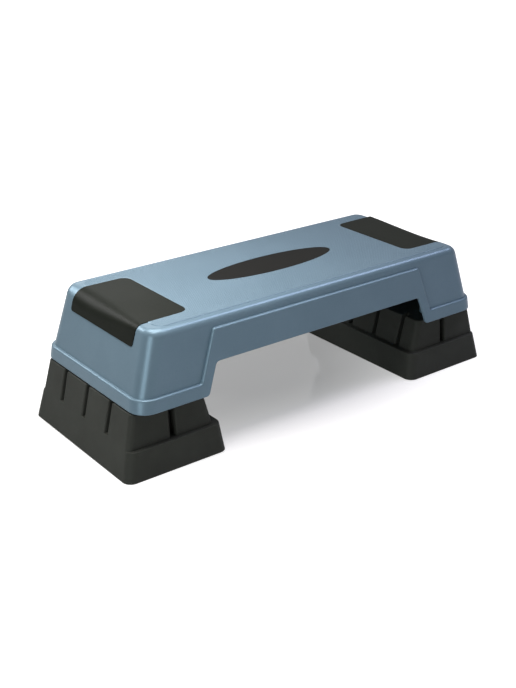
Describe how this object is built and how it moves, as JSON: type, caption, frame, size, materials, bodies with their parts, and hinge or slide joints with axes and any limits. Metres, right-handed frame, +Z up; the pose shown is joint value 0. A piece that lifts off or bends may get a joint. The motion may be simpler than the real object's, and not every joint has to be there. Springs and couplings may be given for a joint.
{
  "type": "aerobic step platform",
  "caption": "Low exercise step: hollow moulded deck with treaded top, end grip pads, bare oval badge and an arch between its legs, standing on stepped slotted risers that pull off.",
  "frame": {"origin": "on the floor, under the middle of the step", "axes": "+X along the step, +Y to the back, +Z up; the front faces -Y"},
  "size_m": [0.6796, 0.264, 0.2],
  "materials": {
    "deck_plastic": "satin blue-grey moulding, fine tread on top",
    "pad_rubber": "satin black",
    "badge_plastic": "satin black, bare",
    "riser_plastic": "matte black moulding",
    "foot_rubber": "matte black"
  },
  "bodies": {
    "platform": {"platform_deck": "deck_plastic", "grip_pad_left": "pad_rubber", "grip_pad_right": "pad_rubber", "oval_badge": "badge_plastic", "deck_foot_left_1": "foot_rubber", "deck_foot_left_2": "foot_rubber", "deck_foot_left_3": "foot_rubber", "deck_foot_left_4": "foot_rubber", "deck_foot_right_1": "foot_rubber", "deck_foot_right_2": "foot_rubber", "deck_foot_right_3": "foot_rubber", "deck_foot_right_4": "foot_rubber"},
    "left_riser": {"riser_left": "riser_plastic", "riser_left_foot_1": "foot_rubber", "riser_left_foot_2": "foot_rubber", "riser_left_foot_3": "foot_rubber", "riser_left_foot_4": "foot_rubber"},
    "right_riser": {"riser_right": "riser_plastic", "riser_right_foot_1": "foot_rubber", "riser_right_foot_2": "foot_rubber", "riser_right_foot_3": "foot_rubber", "riser_right_foot_4": "foot_rubber"}
  },
  "joints": [
    {"name": "left_riser_pull_off", "type": "slide", "parent": "platform", "child": "left_riser", "axis": [0, 0, -1], "range_m": [0, 0.04]},
    {"name": "right_riser_pull_off", "type": "slide", "parent": "platform", "child": "right_riser", "axis": [0, 0, -1], "range_m": [0, 0.04]}
  ]
}
